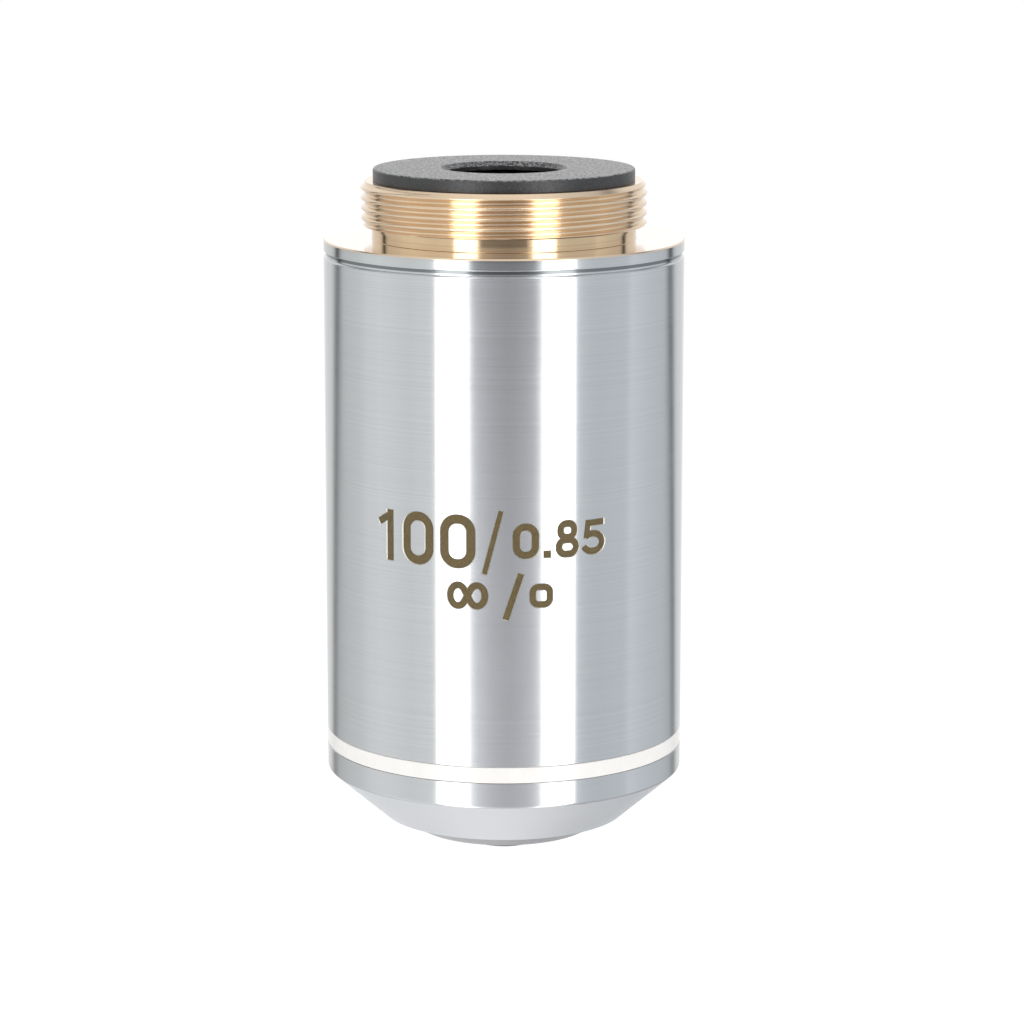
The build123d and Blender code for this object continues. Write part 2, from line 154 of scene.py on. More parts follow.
def outline(corners, steps=4):
    """Segments of a turned section from its corners (radius, height, fillet, slot).

    Each segment is (start, end, normal at start, normal at end, slot). The slot is that of the stretch
    that starts at the corner, and a fillet takes the slot of the stretch before it.
    """
    count = len(corners)
    area = 0.0
    for i in range(count):
        r0, z0 = corners[i][:2]
        r1, z1 = corners[(i + 1) % count][:2]
        area += r0 * z1 - r1 * z0
    side = -1.0 if area > 0 else 1.0
    arcs = []
    for i in range(count):
        r, z, fillet, slot = corners[i]
        before = corners[i - 1]
        after = corners[(i + 1) % count]
        d1 = unit(r - before[0], z - before[1])
        d2 = unit(after[0] - r, after[1] - z)
        n1 = (-side * d1[1], side * d1[0])
        n2 = (-side * d2[1], side * d2[0])
        turn = acos(max(-1.0, min(1.0, d1[0] * d2[0] + d1[1] * d2[1])))
        if fillet <= 0 or turn < 0.02:
            arcs.append([((r, z), n1, n2)])
            continue
        reach = fillet * tan(turn / 2)
        bend = 1.0 if (n1[0] * d2[0] + n1[1] * d2[1]) < 0 else -1.0
        start = (r - d1[0] * reach, z - d1[1] * reach)
        centre = (start[0] - bend * fillet * n1[0], start[1] - bend * fillet * n1[1])
        points = []
        for k in range(steps + 1):
            t = k / steps
            a = sin((1 - t) * turn) / sin(turn)
            b = sin(t * turn) / sin(turn)
            n = (a * n1[0] + b * n2[0], a * n1[1] + b * n2[1])
            point = (centre[0] + bend * fillet * n[0], centre[1] + bend * fillet * n[1])
            points.append((point, n, n))
        arcs.append(points)
    segments = []
    for i in range(count):
        points = arcs[i]
        slot_before = corners[i - 1][3]
        for k in range(len(points) - 1):
            segments.append((points[k][0], points[k + 1][0], points[k][2], points[k + 1][1], slot_before))
        last = points[-1]
        first = arcs[(i + 1) % count][0]
        segments.append((last[0], first[0], last[2], first[1], corners[i][3]))
    return segments, side


class Builder:
    """Collects the faces of one piece, with a normal for each corner of each face."""

    def __init__(self):
        self.verts = []
        self.faces = []
        self.normals = []
        self.slots = []

    def vert(self, x, y, z):
        self.verts.append((x * MM, y * MM, z * MM))
        return len(self.verts) - 1

    def face(self, indices, normals, slot):
        self.faces.append(indices)
        self.normals.extend(normals)
        self.slots.append(slot)

    def make(self, name, materials, body, node):
        names = list(dict.fromkeys(self.slots))
        mesh = bpy.data.meshes.new(name)
        mesh.from_pydata(self.verts, [], self.faces)
        for key in names:
            mesh.materials.append(materials[key])
        mesh.polygons.foreach_set("material_index", [names.index(s) for s in self.slots])
        mesh.polygons.foreach_set("use_smooth", [True] * len(self.faces))
        mesh.update()
        mesh.normals_split_custom_set(self.normals)
        piece = bpy.data.objects.new(name, mesh)
        bpy.context.scene.collection.objects.link(piece)
        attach(piece, body)
        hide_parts(node)
        return piece


def turned(builder, segments, side, columns=360, skip=None):
    """Turns a section about the axis. skip(segment number, column) leaves a face out."""
    rings = []
    for p, q, n0, n1, slot in segments:
        if p[0] < 1e-6:
            rings.append([builder.vert(0, 0, p[1])] * columns)
            continue
        ring = []
        for c in range(columns):
            angle = 2 * pi * c / columns
            ring.append(builder.vert(p[0] * cos(angle), p[0] * sin(angle), p[1]))
        rings.append(ring)
    for s, (p, q, n0, n1, slot) in enumerate(segments):
        low = rings[s]
        high = rings[(s + 1) % len(segments)]
        if p[0] < 1e-6 and q[0] < 1e-6:
            continue
        for c in range(columns):
            if skip and skip(s, c):
                continue
            d = (c + 1) % columns
            a0 = 2 * pi * c / columns
            a1 = 2 * pi * (c + 1) / columns
            low_0 = (n0[0] * cos(a0), n0[0] * sin(a0), n0[1])
            low_1 = (n0[0] * cos(a1), n0[0] * sin(a1), n0[1])
            high_0 = (n1[0] * cos(a0), n1[0] * sin(a0), n1[1])
            high_1 = (n1[0] * cos(a1), n1[0] * sin(a1), n1[1])
            corners = [(low[c], low_0), (high[c], high_0), (high[d], high_1), (low[d], low_1)]
            if p[0] < 1e-6:
                corners.pop(3)
            elif q[0] < 1e-6:
                corners.pop(2)
            if side < 0:
                corners.reverse()
            builder.face([v for v, n in corners], [n for v, n in corners], slot)
    return rings


# Materials. Object coordinates are in metres, so each pattern is scaled from millimetres.

class Shade:
    """A node material with short names for the nodes that several finishes share."""

    def __init__(self, name):
        self.material = bpy.data.materials.new(name)
        self.material.use_nodes = True
        self.tree = self.material.node_tree
        self.shader = self.tree.nodes["Principled BSDF"]
        self.coords = self.tree.nodes.new("ShaderNodeTexCoord").outputs["Object"]

    def node(self, kind, **inputs):
        node = self.tree.nodes.new(kind)
        for key, value in inputs.items():
            self.put(node.inputs[key], value)
        return node

    def put(self, socket, value):
        if isinstance(value, bpy.types.NodeSocket):
            self.tree.links.new(value, socket)
        else:
            socket.default_value = value

    def math(self, kind, a, b=0.0):
        node = self.tree.nodes.new("ShaderNodeMath")
        node.operation = kind
        self.put(node.inputs[0], a)
        self.put(node.inputs[1], b)
        return node.outputs[0]

    def section_point(self):
        """Distance from the axis and height, in millimetres: what a turning tool's marks follow."""
        parts = self.node("ShaderNodeSeparateXYZ", Vector=self.coords)
        squares = [self.math("POWER", parts.outputs[k], 2.0) for k in (0, 1)]
        square = self.math("ADD", squares[0], squares[1])
        radius = self.math("MULTIPLY", self.math("SQRT", square), 1000.0)
        height = self.math("MULTIPLY", parts.outputs[2], 1000.0)
        return self.node("ShaderNodeCombineXYZ", X=radius, Y=height).outputs[0]

    def solid_point(self):
        scaled = self.node("ShaderNodeVectorMath", Vector=self.coords)
        scaled.operation = "SCALE"
        scaled.inputs["Scale"].default_value = 1000.0
        return scaled.outputs[0]

    def noise(self, point, scale, detail=2.0, roughness=0.5):
        node = self.node("ShaderNodeTexNoise", Vector=point, Scale=scale, Detail=detail)
        self.put(node.inputs["Roughness"], roughness)
        return node.outputs[0]

    def between(self, value, low, high, source=(0.3, 0.7)):
        node = self.node("ShaderNodeMapRange", Value=value)
        node.inputs["From Min"].default_value = source[0]
        node.inputs["From Max"].default_value = source[1]
        node.inputs["To Min"].default_value = low
        node.inputs["To Max"].default_value = high
        return node.outputs[0]

    def blend(self, value, first, second):
        node = self.tree.nodes.new("ShaderNodeMix")
        node.data_type = "RGBA"
        self.put(node.inputs[0], value)
        self.put(node.inputs[6], (*first, 1.0))
        self.put(node.inputs[7], (*second, 1.0))
        return node.outputs[2]

    def bump(self, height, depth_mm, normal=None):
        node = self.node("ShaderNodeBump", Height=height, Strength=1.0, Distance=depth_mm * MM)
        if normal is not None:
            self.put(node.inputs["Normal"], normal)
        return node.outputs[0]

    def set(self, **inputs):
        for key, value in inputs.items():
            self.put(self.shader.inputs[key.replace("_", " ")], value)
        return self.material


def turned_metal(name, dark, light, rough, spread, lines=9.0, depth=0.0006, aniso=0.0):
    """A turned metal surface: fine marks that run round the axis, and softer mottling in its gloss."""
    shade = Shade(name)
    section = shade.section_point()
    fine = shade.noise(section, lines, 3.0, 0.65)
    broad = shade.noise(shade.solid_point(), 0.35, 2.0)
    colour = shade.blend(shade.between(fine, 0.0, 1.0), dark, light)
    gloss = shade.math("ADD", shade.between(fine, rough, rough + spread), shade.between(broad, 0.0, 0.03))
    if aniso:
        tangent = shade.tree.nodes.new("ShaderNodeTangent")
        tangent.direction_type = "RADIAL"
        tangent.axis = "Z"
        shade.put(shade.shader.inputs["Tangent"], tangent.outputs[0])
        shade.set(Anisotropic=aniso, Anisotropic_Rotation=0.25)
    return shade.set(Base_Color=colour, Metallic=1.0, Roughness=gloss, Normal=shade.bump(fine, depth))


def blasted(name, dark, light, rough, grain, depth):
    """A bead-blasted black surface: pits that catch the light, and pale specks painted on its upward faces
    as a painted sheen for their grazing reflections.
    """
    shade = Shade(name)
    point = shade.solid_point()
    pits = shade.noise(point, grain, 2.0, 0.6)
    specks = shade.noise(point, grain * 1.2, 1.0)
    normal = shade.tree.nodes.new("ShaderNodeNewGeometry").outputs["Normal"]
    upward = shade.node("ShaderNodeSeparateXYZ", Vector=normal).outputs[2]
    # Painted sheen: the pale specks go on the upward faces only, standing in for the grazing reflections
    # off the top
    top = shade.between(upward, 0.03, 1.0, (0.35, 0.95))
    top_sheen_specks = shade.math("MULTIPLY", shade.between(specks, 0.0, 1.0, (0.40, 0.66)), top)
    colour = shade.blend(top_sheen_specks, dark, light)
    gloss = shade.between(pits, rough - 0.08, rough + 0.08)
    return shade.set(Base_Color=colour, Roughness=gloss, IOR=1.6, Normal=shade.bump(pits, depth))


# Turned finishes (the seam and neck colours are painted shade, the seat colour a painted sheen): name,
# dark and light colour, roughness and its spread, marks to the millimetre, depth of the marks in
# millimetres, and how far the gloss is drawn out along the axis
TURNED_FINISHES = {
    "sleeve": ("plated_sleeve", (0.55, 0.56, 0.57), (0.605, 0.615, 0.625), 0.17, 0.03, 14.0, 0.0004, 1.0),
    "rim": ("plated_rim", (0.53, 0.545, 0.55), (0.585, 0.60, 0.605), 0.09, 0.03, 7.0, 0.0003),
    # The shoulder's top face is the mount's brass painted pale, near white: a painted sheen for its
    # grazing reflection of the bright room
    "seat": ("seat_brass_painted_sheen", (0.83, 0.76, 0.70), (0.90, 0.84, 0.79), 0.07, 0.04, 7.0, 0.0004),
    "seam": ("shaded_seam", (0.17, 0.185, 0.19), (0.21, 0.225, 0.23), 0.12, 0.04, 7.0),
    # The neck is the mount's own brass painted darker and more orange: painted shade for its recess under
    # the thread
    "neck": ("neck_brass_painted_shade", (0.64, 0.47, 0.29), (0.72, 0.54, 0.35), 0.07, 0.03, 7.0),
    "cone": ("plated_cone", (0.63, 0.64, 0.66), (0.67, 0.68, 0.70), 0.42, 0.06, 9.0, 0.0006),
    "nose": ("plated_nose", (0.30, 0.30, 0.31), (0.40, 0.40, 0.41), 0.40, 0.08, 7.0, 0.0010),
    "brass": ("turned_brass", (0.71, 0.54, 0.37), (0.81, 0.64, 0.47), 0.14, 0.05, 7.0, 0.0010, 0.6),
    "bore": ("blackened_bore", (0.012, 0.012, 0.013), (0.03, 0.03, 0.032), 0.5, 0.1, 6.0, 0.001),
    "tip": ("blackened_tip", (0.05, 0.05, 0.055), (0.12, 0.12, 0.13), 0.35, 0.1, 7.0, 0.001),
    "black": ("blackened_brass", (0.02, 0.02, 0.022), (0.045, 0.043, 0.04), 0.45, 0.1, 6.0, 0.001),
    "steel": ("screw_steel", (0.30, 0.30, 0.31), (0.42, 0.42, 0.43), 0.3, 0.08, 8.0, 0.001),
    "spring": ("spring_steel", (0.34, 0.35, 0.37), (0.48, 0.48, 0.50), 0.25, 0.1, 12.0, 0.0006),
    "inner_brass": ("plain_brass", (0.55, 0.38, 0.20), (0.70, 0.50, 0.28), 0.22, 0.1, 8.0, 0.001),
    "cut": ("engraved_edge", (0.52, 0.52, 0.48), (0.62, 0.62, 0.58), 0.4, 0.1, 8.0, 0.0005),
}


def make_materials():
    found = {key: turned_metal(*values) for key, values in TURNED_FINISHES.items()}
    # The light colour is the painted sheen of the specks on the baffle's top
    found["baffle"] = blasted("black_baffle", (0.006, 0.006, 0.007), (0.44, 0.44, 0.45), 0.38, 6.0, 0.03)

    shade = Shade("white_enamel")
    flow = shade.noise(shade.solid_point(), 0.6, 2.0)
    colour = shade.blend(shade.between(flow, 0.0, 1.0), (0.93, 0.905, 0.865), (0.96, 0.94, 0.905))
    found["enamel"] = shade.set(
        Base_Color=colour, Roughness=shade.between(flow, 0.22, 0.3), Coat_Weight=0.3, Coat_Roughness=0.1,
        Normal=shade.bump(flow, 0.004)
    )

    shade = Shade("engraving_paint")
    streaks = shade.noise(shade.solid_point(), 5.0, 4.0, 0.7)
    colour = shade.blend(shade.between(streaks, 0.0, 1.0), (0.070, 0.049, 0.014), (0.150, 0.106, 0.038))
    found["paint"] = shade.set(
        Base_Color=colour, Roughness=shade.between(streaks, 0.5, 0.7), Metallic=0.2,
        Normal=shade.bump(streaks, 0.01)
    )

    shade = Shade("coated_glass")
    haze = shade.noise(shade.solid_point(), 0.8, 2.0)
    colour = shade.blend(shade.between(haze, 0.0, 1.0), (0.90, 0.95, 0.93), (0.97, 0.98, 0.99))
    found["glass"] = shade.set(
        Base_Color=colour, Roughness=shade.between(haze, 0.0, 0.01), IOR=1.6, Transmission_Weight=1.0,
        Thin_Film_Thickness=140.0, Thin_Film_IOR=1.38
    )
    return found


# The studio. Lengths in metres.

CARD_RADIUS = 0.55
CARD_REACH = 1.25
FLOOR_Z = -1.3
FLOOR_REACH = 12.0
FLOOR_GLOW = 0.32
SOFTBOX_SIZE = (0.25, 0.7)
SOFTBOX_POWER = 0.35
SOFTBOX_PLACE = (0.30, -0.43, 0.10)
SOFTBOX_AIM = (0.0, 0.0, -0.02)
ROOM_LIGHT = (0.78, 0.78, 0.79, 1.0)
ROOM_SEEN = (1.0, 1.0, 1.0, 1.0)


def emitter(name):
    material = bpy.data.materials.new(name)
    material.use_nodes = True
    tree = material.node_tree
    tree.nodes.clear()
    out = tree.nodes.new("ShaderNodeOutputMaterial")
    glow = tree.nodes.new("ShaderNodeEmission")
    colour = tree.nodes.new("ShaderNodeAttribute")
    colour.attribute_name = "level"
    tree.links.new(colour.outputs["Color"], glow.inputs["Color"])
    tree.links.new(glow.outputs[0], out.inputs["Surface"])
    return material


# Brightness of the cards round the object, by bearing: 0 is behind the camera, in degrees to one side
LEFT_CARDS = [
    (0, 0.63), (4, 0.66), (8, 0.70), (13, 0.80), (17, 0.86), (20, 1.06), (22.6, 1.5), (23.4, 3.6),
    (42.9, 3.6), (43.2, 1.02), (50, 0.96), (54, 0.97), (61, 0.92), (69, 0.95), (75, 0.985), (84, 1.0),
    (85.3, 1.07), (87, 0.99), (96, 0.985), (104, 0.875), (113, 0.83), (120, 0.79), (127, 0.74),
    (180, 0.74),
]
RIGHT_CARDS = [
    (0, 0.62), (4, 0.61), (8, 0.64), (13, 0.70), (17, 0.75), (19.5, 0.84), (22.5, 1.05), (24.6, 1.5),
    (25.4, 3.6), (45.2, 3.6), (45.5, 1.0), (51, 0.88), (57, 0.815), (64, 0.80), (74, 0.82), (83, 0.82),
    (86, 0.90), (87.6, 0.98), (90, 0.94), (96, 0.90), (104, 0.84), (115, 0.79), (123, 0.76),
    (127, 0.72), (180, 0.72),
]


def table_value(table, place):
    for (a, low), (b, high) in zip(table, table[1:]):
        if place <= b:
            return low + (high - low) * (place - a) / (b - a)
    return table[-1][1]


def ease(value, low, high):
    t = max(0.0, min(1.0, (value - low) / (high - low)))
    return t * t * (3 - 2 * t)


def card_level(bearing, height):
    """Brightness and tint of the cards at a bearing, + to the right, and a height in metres."""
    side = abs(bearing)
    # The part of the body that mirrors this height to the front: 0 at its top, 1 near its cone
    below = max(-0.5, min(1.2, -(height + 0.082) / 0.089))
    level = table_value(LEFT_CARDS if bearing < 0 else RIGHT_CARDS, side)
    # In front, between the two bright strips: dark at the object's own height, less so above and below
    if side < 23:
        inner = 1.0 - ease(side, 18.5, 22.5)
        hollow = ease(height, -0.080, -0.074) * (1.0 - ease(height, 0.03, 0.05))
        above = ease(height, 0.03, 0.06)
        level *= inner * (1.28 - hollow - 0.6 * above) + 1.0 - inner
    # The dark edge of each side card, which moves back and grows softer further down, and the back wall
    edge = 132.5 + 11.0 * below
    lower = max(0.0, below)
    dark = exp(-((side - edge) / (4.0 + 1.5 * lower)) ** 2)
    back = ease(side, edge + 1.0, edge + 12.0)
    level = level * (1.0 - back) + (0.86 + 0.14 * ease(side, 156, 172)) * back
    level *= 1.0 - (0.92 - 0.34 * lower) * dark
    # Near the floor the left is brighter than the right, and the back wall is brighter towards its top
    if height < -0.3:
        level *= 1.0 - 0.18 * max(-1.0, min(1.0, bearing / 40.0))
    if side > 128:
        level *= 1.0 + 0.12 * ease(height, -0.03, 0.06)
    if side < 22:
        tint = (0.985, 0.99, 1.03)
    elif side < 46 or side > 145:
        tint = (1.0, 1.0, 1.0)
    elif bearing < 0:
        tint = (0.985, 1.005, 1.01)
    else:
        tint = (0.955, 1.0, 1.045)
    return [level * c for c in tint]


def make_studio():
    columns = 1080
    rows = [-CARD_REACH, -0.4] + [-0.25 + 0.02 * k for k in range(18)] + [0.2, 0.6, CARD_REACH]
    verts = []
    faces = []
    levels = []
    for c in range(columns + 1):
        angle = radians(-90.0 + 360.0 * c / columns)
        verts.extend((CARD_RADIUS * cos(angle), CARD_RADIUS * sin(angle), z) for z in rows)
    for c in range(columns):
        bearing = 360.0 * (c + 0.5) / columns
        if bearing > 180.0:
            bearing -= 360.0
        for k in range(len(rows) - 1):
            a = c * len(rows) + k
            faces.append((a, a + 1, a + 1 + len(rows), a + len(rows)))
            low = (*card_level(bearing, rows[k]), 1.0)
            high = (*card_level(bearing, rows[k + 1]), 1.0)
            levels.extend([low, high, high, low])
    mesh = bpy.data.meshes.new("studio_cards")
    mesh.from_pydata(verts, [], faces)
    attribute = mesh.color_attributes.new("level", "FLOAT_COLOR", "CORNER")
    attribute.data.foreach_set("color", [v for level in levels for v in level])
    mesh.materials.append(emitter("studio_card"))
    cards = bpy.data.objects.new("studio_cards", mesh)
    bpy.context.scene.collection.objects.link(cards)
    cards.visible_camera = False
    cards.visible_diffuse = False
    cards.visible_transmission = False
    cards.visible_shadow = False
    cards.visible_volume_scatter = False

    mesh = bpy.data.meshes.new("studio_floor")
    ends = ((-1, -1), (1, -1), (1, 1), (-1, 1))
    mesh.from_pydata([(x * FLOOR_REACH, y * FLOOR_REACH, FLOOR_Z) for x, y in ends], [], [(0, 1, 2, 3)])
    shade = Shade("studio_floor")
    grain = shade.noise(shade.solid_point(), 0.05, 2.0)
    colour = shade.blend(shade.between(grain, 0.0, 1.0), (0.90, 0.90, 0.90), (0.92, 0.92, 0.92))
    mesh.materials.append(shade.set(
        Base_Color=colour, Roughness=0.9, Emission_Color=(1.0, 1.0, 1.0, 1.0), Emission_Strength=FLOOR_GLOW
    ))
    floor = bpy.data.objects.new("studio_floor", mesh)
    bpy.context.scene.collection.objects.link(floor)

    for name, side in (("softbox_left", -1.0), ("softbox_right", 1.0)):
        light = bpy.data.lights.new(name, "AREA")
        light.shape = "RECTANGLE"
        light.size = SOFTBOX_SIZE[0]
        light.size_y = SOFTBOX_SIZE[1]
        light.energy = SOFTBOX_POWER
        lamp = bpy.data.objects.new(name, light)
        lamp.location = (SOFTBOX_PLACE[0] * side, SOFTBOX_PLACE[1], SOFTBOX_PLACE[2])
        direction = Vector(SOFTBOX_AIM) - lamp.location
        lamp.rotation_euler = direction.to_track_quat("-Z", "Y").to_euler()
        lamp.visible_camera = False
        lamp.visible_glossy = False
        lamp.visible_transmission = False
        bpy.context.scene.collection.objects.link(lamp)

    world = bpy.data.worlds.new("studio")
    world.use_nodes = True
    bpy.context.scene.world = world
    tree = world.node_tree
    tree.nodes.clear()
    out = tree.nodes.new("ShaderNodeOutputWorld")
    back = tree.nodes.new("ShaderNodeBackground")
    path = tree.nodes.new("ShaderNodeLightPath")
    either = tree.nodes.new("ShaderNodeMath")
    either.operation = "ADD"
    either.use_clamp = True
    also = tree.nodes.new("ShaderNodeMath")
    also.operation = "ADD"
    also.use_clamp = True
    mix = tree.nodes.new("ShaderNodeMix")
    mix.data_type = "RGBA"
    mix.inputs[6].default_value = ROOM_LIGHT
    mix.inputs[7].default_value = ROOM_SEEN
    tree.links.new(path.outputs["Is Camera Ray"], either.inputs[0])
    tree.links.new(path.outputs["Is Glossy Ray"], either.inputs[1])
    tree.links.new(either.outputs[0], also.inputs[0])
    tree.links.new(path.outputs["Is Transmission Ray"], also.inputs[1])
    tree.links.new(also.outputs[0], mix.inputs[0])
    tree.links.new(mix.outputs[2], back.inputs["Color"])
    tree.links.new(back.outputs[0], out.inputs["Surface"])


# The mount body, with its thread

THREAD_DEPTH = 0.30
THREAD_PHASE = 1.117


def thread_radius(angle, z):
    """Radius of the thread's surface: a right-hand helix with rounded crests and roots."""
    turn = angle / (2 * pi)
    phase = (z - THREAD_PHASE) / THREAD_PITCH - turn
    wave = abs(phase - round(phase)) * 2
    drop = 0.5 - 0.5 * cos(pi * wave)
    radius = THREAD_R - THREAD_DEPTH * drop
    radius = min(radius, THREAD_R - THREAD_LEAD_IN + (THREAD_TOP - z))
    return min(radius, THREAD_R - THREAD_RUN_OUT + max(0.0, z - NECK_TOP))


def thread_normal(angle, z):
    step = 0.004
    radius = thread_radius(angle, z)
    low = max(z - step, NECK_TOP)
    high = min(z + step, THREAD_TOP)
    rise = (thread_radius(angle, high) - thread_radius(angle, low)) / (high - low)
    turn = step / radius
    swing = (thread_radius(angle + turn, z) - thread_radius(angle - turn, z)) / (2 * step)
    n = Vector((cos(angle) + swing * sin(angle), sin(angle) - swing * cos(angle), -rise))
    return tuple(n.normalized())


def build_mount(materials):
    builder = Builder()
    columns = 480
    corners = [
        (NECK_BORE_R, THREAD_TOP, 0.0, "brass"),
        (THREAD_CORE_R, THREAD_TOP, 0.0, "brass"),
        (THREAD_CORE_R, NECK_TOP, 0.0, "brass"),
        # The neck takes the brass painted darker: painted shade for its recess
        (NECK_R, NECK_TOP, 0.05, "neck"),
        # The shoulder's top takes the pale colour: a painted sheen for its grazing reflection
        (NECK_R, 0.0, 0.05, "seat"),
        (BODY_R - FLANGE_CHAMFER, 0.0, 0.03, "brass"),
        (BODY_R, -FLANGE_CHAMFER, 0.03, "rim"),
        (BODY_R, FLANGE_BOTTOM, 0.06, "seam"),
        (SEAM_R, FLANGE_BOTTOM, 0.03, "seam"),
        (SEAM_R, SEAM_SHADE, 0.0, "rim"),
        (SEAM_R, SLEEVE_TOP, 0.0, "rim"),
        (SPIGOT_R, SLEEVE_TOP, 0.0, "bore"),
        (SPIGOT_R, SLEEVE_TOP - SPIGOT_LENGTH, 0.2, "inner_brass"),
        (TUBE_R, SLEEVE_TOP - SPIGOT_LENGTH, 0.0, "inner_brass"),
        (TUBE_R, TUBE_END, 0.1, "inner_brass"),
        (STOP_BORE_R, TUBE_END, 0.1, "inner_brass"),
        (STOP_BORE_R, STOP_TOP, 0.0, "inner_brass"),
        (GUIDE_BORE_R, STOP_TOP, 0.0, "inner_brass"),
        (GUIDE_BORE_R, SPRING_SEAT, 0.0, "bore"),
        (SPRING_WEB_R, SPRING_SEAT, 0.1, "bore"),
        (SPRING_WEB_R, FLANGE_BOTTOM, 0.0, "bore"),
        (NECK_BORE_R, FLANGE_BOTTOM, 0.05, "bore"),
    ]
    segments, side = outline(corners)
    rows = 76
    heights = [THREAD_TOP + (NECK_TOP - THREAD_TOP) * k / rows for k in range(rows + 1)]
    grid = []
    for z in heights:
        ring = []
        for c in range(columns):
            angle = 2 * pi * c / columns
            r = thread_radius(angle, z)
            ring.append(builder.vert(r * cos(angle), r * sin(angle), z))
        grid.append(ring)
    for k in range(rows):
        for c in range(columns):
            d = (c + 1) % columns
            a0 = 2 * pi * c / columns
            a1 = 2 * pi * (c + 1) / columns
            builder.face(
                [grid[k][d], grid[k][c], grid[k + 1][c], grid[k + 1][d]],
                [thread_normal(a1, heights[k]), thread_normal(a0, heights[k]),
                 thread_normal(a0, heights[k + 1]), thread_normal(a1, heights[k + 1])],
                "brass",
            )

    def on_thread(s, c):
        p, q = segments[s][:2]
        return p[0] == THREAD_CORE_R and q[0] == THREAD_CORE_R

    rings = turned(builder, segments, side, columns, on_thread)
    top_ring = next(r for r, s in zip(rings, segments) if s[0] == (THREAD_CORE_R, THREAD_TOP))
    low_ring = next(r for r, s in zip(rings, segments) if s[0] == (THREAD_CORE_R, NECK_TOP))
    up = (0.0, 0.0, 1.0)
    down = (0.0, 0.0, -1.0)
    for c in range(columns):
        d = (c + 1) % columns
        builder.face([top_ring[c], grid[0][c], grid[0][d], top_ring[d]], [up] * 4, "brass")
        builder.face([low_ring[d], grid[-1][d], grid[-1][c], low_ring[c]], [down] * 4, "brass")
    return builder.make("threaded_mount", materials, "housing", "mount_body")


# The engraved sleeve

def ring_path(cx, cy, width, height, corner, count=10):
    """The centre line of a rounded box, closed."""
    points = []
    half_w = width / 2 - corner
    half_h = height / 2 - corner
    for k, (sx, sy) in enumerate(((1, 1), (-1, 1), (-1, -1), (1, -1))):
        for i in range(count + 1):
            angle = pi / 2 * (k + i / count)
            point = (cx + sx * half_w + corner * cos(angle), cy + sy * half_h + corner * sin(angle))
            if not points or hypot(point[0] - points[-1][0], point[1] - points[-1][1]) > 0.02:
                points.append(point)
    if hypot(points[0][0] - points[-1][0], points[0][1] - points[-1][1]) < 0.02:
        points.pop()
    return points


def arc_path(cx, cy, rx, ry, start, end, count):
    points = []
    for i in range(count + 1):
        angle = radians(start + (end - start) * i / count)
        points.append((cx + rx * cos(angle), cy + ry * sin(angle)))
    return points


def lying_eight(cx, cy, width, height, spread, count=26):
    """Two round loops, joined by straight strokes that cross between them."""
    rx = width / 2 - spread
    ry = height / 2
    touch = degrees(acos(rx / spread))
    right = arc_path(cx + spread, cy, rx, ry, -180 + touch, 180 - touch, count)
    left = arc_path(cx - spread, cy, rx, ry, -touch, touch - 360, count)
    return right + left


def strokes():
    """The engraved figures as centre lines: points, closed or not, and width.

    Each point is the distance round the sleeve from its front and the height, in millimetres.
    """
    found = []
    w = 0.60
    found.append(([(-8.49, -21.26), (-8.49, -17.70)], False, 0.56))
    found.append(([(-8.36, -17.96), (-9.50, -18.62)], False, 0.48))
    found.append((ring_path(-6.185, -19.45, 2.37 - w, 3.68 - w, 0.86), True, w))
    found.append((ring_path(-3.235, -19.475, 2.49 - w, 3.73 - w, 0.90), True, w))
    found.append(([(-1.36, -21.72), (-0.20, -17.30)], False, 0.33))
    w = 0.48
    found.append((ring_path(1.515, -19.41, 1.80 - w, 2.46 - w, 0.62), True, w))
    found.append(([(3.015, -20.60), (3.015, -20.13)], False, 0.48))
    w = 0.44
    found.append((ring_path(4.465, -18.775, 1.44 - w, 1.22 - w + 0.18, 0.42), True, w))
    found.append((ring_path(4.465, -19.93, 1.69 - w, 1.44 - w, 0.49), True, w))
    five = [(7.27, -18.36), (6.03, -18.40), (5.90, -19.44)]
    bowl = arc_path(6.42, -19.77, 0.72, 0.62, 118, -62, 12)
    bowl += arc_path(6.40, -19.79, 0.72, 0.60, -75, -160, 6)
    found.append((five, False, 0.42))
    found.append(([(5.86, -19.36)] + bowl, False, 0.44))
    w = 0.44
    found.append((lying_eight(-2.54, -23.25, 2.88 - w, 1.90 - w, 0.67), True, w))
    found.append(([(0.12, -24.88), (1.19, -21.70)], False, 0.42))
    w = 0.42
    found.append((ring_path(2.60, -23.255, 1.62 - w, 1.66 - w, 0.40), True, w))
    return found


def stroke_quads(points, closed, width, grow):
    """The stroke as convex pieces with mitred joins, each grown by a rim."""
    half = width / 2 + grow
    count = len(points)
    left = []
    right = []
    for i in range(count):
        if closed:
            before, after = points[i - 1], points[(i + 1) % count]
        else:
            before, after = points[max(i - 1, 0)], points[min(i + 1, count - 1)]
        here = points[i]
        d1 = unit(here[0] - before[0], here[1] - before[1]) if before != here else None
        d2 = unit(after[0] - here[0], after[1] - here[1]) if after != here else None
        d1 = d1 or d2
        d2 = d2 or d1
        shift = 0.0
        if not closed and i == 0:
            shift = -grow
        if not closed and i == count - 1:
            shift = grow
        n1 = (-d1[1], d1[0])
        n2 = (-d2[1], d2[0])
        m = unit(n1[0] + n2[0], n1[1] + n2[1])
        reach = half / max(0.3, m[0] * n1[0] + m[1] * n1[1])
        base = (here[0] + d1[0] * shift, here[1] + d1[1] * shift)
        left.append((base[0] + m[0] * reach, base[1] + m[1] * reach))
        right.append((base[0] - m[0] * reach, base[1] - m[1] * reach))
    quads = []
    for i in range(count if closed else count - 1):
        j = (i + 1) % count
        quads.append([right[i], right[j], left[j], left[i]])
    return quads


ENGRAVE_DEPTH = 0.06
ENGRAVE_RIM = 0.045
WINDOW_TOP = -16.6
WINDOW_LOW = -25.6
WINDOW_COLUMNS = (220, 310)
FRONT_ANGLE = 270.0


